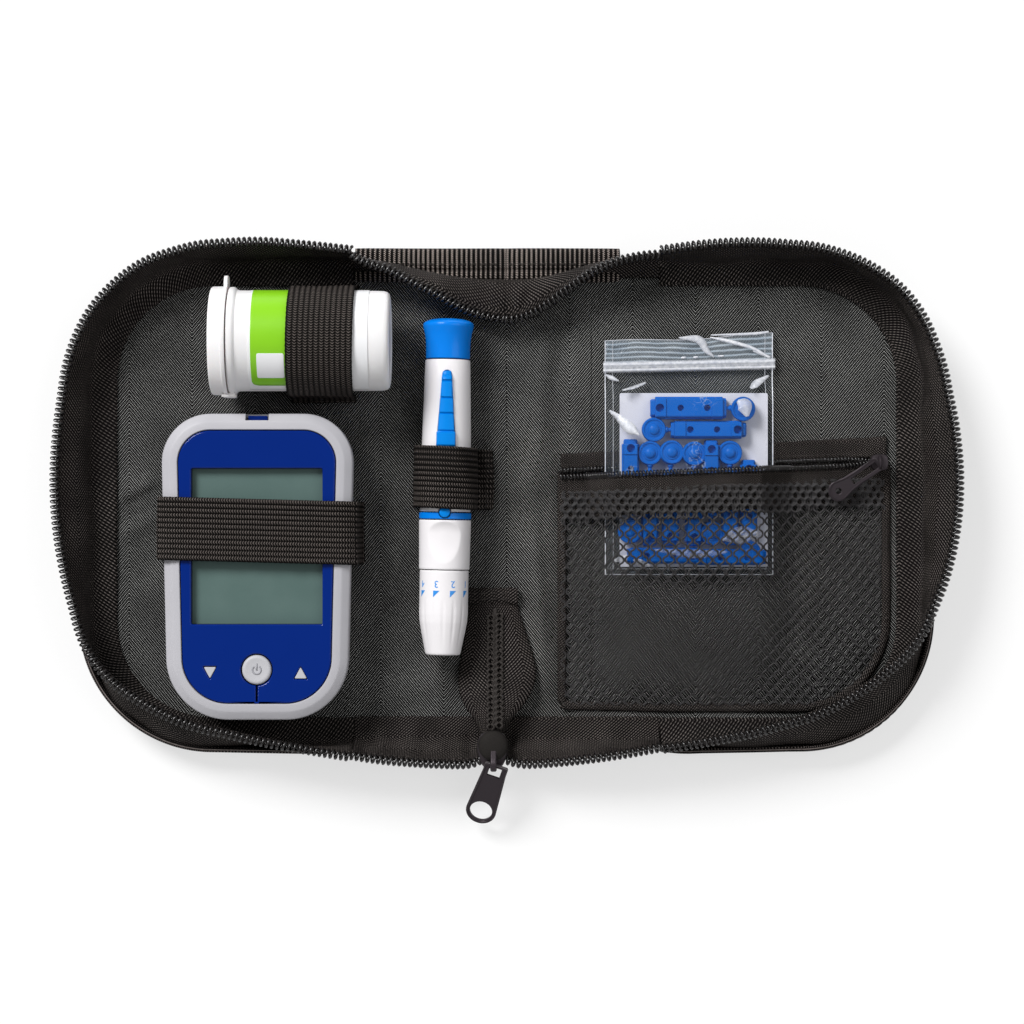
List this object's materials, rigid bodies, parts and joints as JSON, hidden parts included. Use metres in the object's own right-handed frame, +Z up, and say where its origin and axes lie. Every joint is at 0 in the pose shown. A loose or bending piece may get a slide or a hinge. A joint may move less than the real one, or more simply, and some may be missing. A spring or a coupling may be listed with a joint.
{
  "type": "glucose meter case",
  "caption": "Soft zip-round case opened flat, with a glucose meter, strip vial and lancing pen in elastic loops, and a bag of lancets in a zipped mesh pocket.",
  "frame": {"origin": "middle of the spine's underside, on the surface that the open case lies on", "axes": "+X across the open case towards the half with the mesh pocket, +Y along the spine towards the end where the zip tape slumps in, +Z up"},
  "size_m": [0.2686, 0.1739, 0.0365],
  "materials": {
    "woven_cover": "coarse black weave",
    "stiffener": "pressed board",
    "lining_twill": "fine twill",
    "zip_tape": "herringbone tape",
    "zip_nylon": "moulded nylon coil",
    "elastic": "ribbed knit elastic",
    "net_yarn": "knitted mesh",
    "dark_metal": "satin black paint",
    "grey_plastic": "light grey satin",
    "blue_gloss": "deep blue gloss",
    "display": "grey-green display, switched off",
    "circuit_board": "green solder mask",
    "button_white": "soft-touch off-white",
    "cell_steel": "nickel-plated steel",
    "vial_white": "white moulded plastic",
    "desiccant": "off-white moulded desiccant",
    "strip_white": "white film",
    "pen_white": "white moulded plastic",
    "pen_blue": "bright blue moulded plastic",
    "spring_steel": "spring wire",
    "bag_clear": "clear crinkled film",
    "card_white": "white card",
    "lancet_blue": "bright blue moulded plastic"
  },
  "bodies": {
    "left_half": {"left_outer_cover": "woven_cover", "left_stiffener_board": "stiffener", "left_lining_panel": "lining_twill", "left_zip_tape": "zip_tape", "left_zip_teeth": "zip_nylon", "meter_strap": "elastic"},
    "spine": {"spine_cover": "woven_cover", "spine_lining": "lining_twill", "top_webbing": "woven_cover", "top_dip_tape": "zip_tape", "top_dip_teeth": "zip_nylon", "bottom_left_gusset": "zip_tape", "bottom_right_gusset": "zip_tape", "zip_tail_tape": "zip_tape", "zip_tail_chain": "zip_nylon", "main_slider": "dark_metal"},
    "right_half": {"right_outer_cover": "woven_cover", "right_stiffener_board": "stiffener", "right_lining_panel": "lining_twill", "right_zip_tape": "zip_tape", "right_zip_teeth": "zip_nylon", "pocket_mesh": "net_yarn", "pocket_upper_zip": "zip_nylon", "pocket_lower_zip": "zip_nylon"},
    "main_pull": {"main_pull_tab": "dark_metal"},
    "pocket_slider_body": {"pocket_slider": "dark_metal"},
    "pocket_pull": {"pocket_pull_tab": "dark_metal"},
    "bag": {"bag_film": "bag_clear", "bag_card": "card_white", "lancet_upper": "lancet_blue", "lancet_lower": "lancet_blue", "lancet_pile": "lancet_blue"},
    "pen_loop": {"pen_strap": "elastic"},
    "pen": {"pen_barrel": "pen_white", "pen_ring": "pen_blue", "pen_lancet_holder": "pen_blue", "pen_spring": "spring_steel"},
    "pen_cap": {"pen_cocking_cap": "pen_blue"},
    "pen_ejector": {"pen_ejector_slider": "pen_blue"},
    "pen_release": {"pen_release_button": "pen_blue"},
    "pen_nose": {"pen_nose_sleeve": "pen_white"},
    "pen_dial": {"pen_depth_dial": "pen_white"},
    "meter": {"meter_rear_case": "grey_plastic", "meter_front_frame": "grey_plastic", "meter_face": "blue_gloss", "meter_lcd": "display", "meter_circuit_board": "circuit_board", "meter_strip_port": "blue_gloss", "meter_coin_cell": "cell_steel"},
    "power_button": {"meter_power_button": "button_white"},
    "down_button": {"meter_down_button": "button_white"},
    "up_button": {"meter_up_button": "button_white"},
    "battery_door": {"meter_battery_door": "grey_plastic"},
    "vial_loop": {"vial_strap": "elastic"},
    "vial": {"vial_body": "vial_white", "vial_desiccant_liner": "desiccant", "vial_test_strips": "strip_white"},
    "vial_lid_body": {"vial_lid": "vial_white"}
  },
  "joints": [
    {"name": "spine_fold", "type": "hinge", "parent": "left_half", "child": "spine", "pos_m": [-0.021, 0, 0], "axis": [0, 1, 0], "range_deg": [-90, 0], "deforming": ["spine_lining", "top_webbing", "top_dip_tape", "top_dip_teeth", "bottom_left_gusset", "bottom_right_gusset", "pen_strap"]},
    {"name": "cover_fold", "type": "hinge", "parent": "spine", "child": "right_half", "pos_m": [0.021, 0, 0], "axis": [0, 1, 0], "range_deg": [-90, 0], "deforming": ["spine_lining", "top_webbing", "top_dip_tape", "top_dip_teeth", "bottom_left_gusset", "bottom_right_gusset"]},
    {"name": "main_pull_swing", "type": "hinge", "parent": "spine", "child": "main_pull", "pos_m": [-0.0042, -0.0773, 0.0165], "axis": [-0.9472, 0.3206, 0], "range_deg": [0, 120]},
    {"name": "pen_shift", "type": "slide", "parent": "spine", "child": "pen_loop", "axis": [1, 0, 0], "range_m": [0, 0.0085], "deforming": ["pen_strap"]},
    {"name": "pen_lift", "type": "slide", "parent": "pen_loop", "child": "pen", "axis": [0, 0, 1], "range_m": [0, 0.025], "deforming": ["pen_strap"]},
    {"name": "pen_cap_pull", "type": "slide", "parent": "pen", "child": "pen_cap", "axis": [0.0175, 0.9998, 0], "range_m": [0, 0.003], "stiffness_N_per_m": 400, "springref_m": -0.001, "deforming": ["top_dip_tape", "top_dip_teeth"]},
    {"name": "pen_ejector_slide", "type": "slide", "parent": "pen", "child": "pen_ejector", "axis": [-0.0175, -0.9998, 0], "range_m": [0, 0.006], "stiffness_N_per_m": 150, "springref_m": -0.001},
    {"name": "pen_release_press", "type": "slide", "parent": "pen", "child": "pen_release", "axis": [0, 0, -1], "range_m": [0, 0.0012], "stiffness_N_per_m": 800, "springref_m": -0.0005},
    {"name": "pen_nose_pull", "type": "slide", "parent": "pen", "child": "pen_nose", "axis": [-0.0175, -0.9998, 0], "range_m": [0, 0.01]},
    {"name": "pen_dial_turn", "type": "hinge", "parent": "pen_nose", "child": "pen_dial", "pos_m": [-0.01886, -0.0295, 0.0112], "axis": [0.0175, 0.9998, 0], "range_deg": [-50, 50]},
    {"name": "meter_lift", "type": "slide", "parent": "left_half", "child": "meter", "axis": [0, 0, 1], "range_m": [0, 0.03], "deforming": ["meter_strap"]},
    {"name": "power_button_press", "type": "slide", "parent": "meter", "child": "power_button", "axis": [0, 0, -1], "range_m": [0, 0.0006], "stiffness_N_per_m": 1500, "springref_m": -0.0003},
    {"name": "down_button_press", "type": "slide", "parent": "meter", "child": "down_button", "axis": [0, 0, -1], "range_m": [0, 0.0006], "stiffness_N_per_m": 1000, "springref_m": -0.0003},
    {"name": "up_button_press", "type": "slide", "parent": "meter", "child": "up_button", "axis": [0, 0, -1], "range_m": [0, 0.0006], "stiffness_N_per_m": 1000, "springref_m": -0.0003},
    {"name": "battery_door_slide", "type": "slide", "parent": "meter", "child": "battery_door", "axis": [0, -1, 0], "range_m": [0, 0.006]},
    {"name": "vial_shift", "type": "slide", "parent": "left_half", "child": "vial_loop", "axis": [-1, 0, 0], "range_m": [0, 0.0062], "deforming": ["vial_strap"]},
    {"name": "vial_lift", "type": "slide", "parent": "vial_loop", "child": "vial", "axis": [0, 0, 1], "range_m": [0, 0.04], "deforming": ["vial_strap"]},
    {"name": "vial_lid_flip", "type": "hinge", "parent": "vial", "child": "vial_lid_body", "pos_m": [-0.082, 0.032, 0.0199], "axis": [0, 0, 1], "range_deg": [0, 75]},
    {"name": "pocket_slider_travel", "type": "slide", "parent": "right_half", "child": "pocket_slider_body", "axis": [-0.9993, -0.0386, 0], "range_m": [0, 0.012]},
    {"name": "pocket_pull_swing", "type": "hinge", "parent": "pocket_slider_body", "child": "pocket_pull", "pos_m": [0.11142, 0.0124, 0.0093], "axis": [-0.5707, 0.8211, 0], "range_deg": [0, 110]},
    {"name": "bag_slide", "type": "slide", "parent": "right_half", "child": "bag", "axis": [0, 1, 0], "range_m": [0, 0.015]}
  ],
  "couplings": [
    {"joint": "cover_fold", "follows": "spine_fold", "ratio": 1},
    {"joint": "pen_shift", "follows": "spine_fold", "m_per_rad": -0.00541},
    {"joint": "vial_shift", "follows": "spine_fold", "m_per_rad": -0.00392}
  ]
}
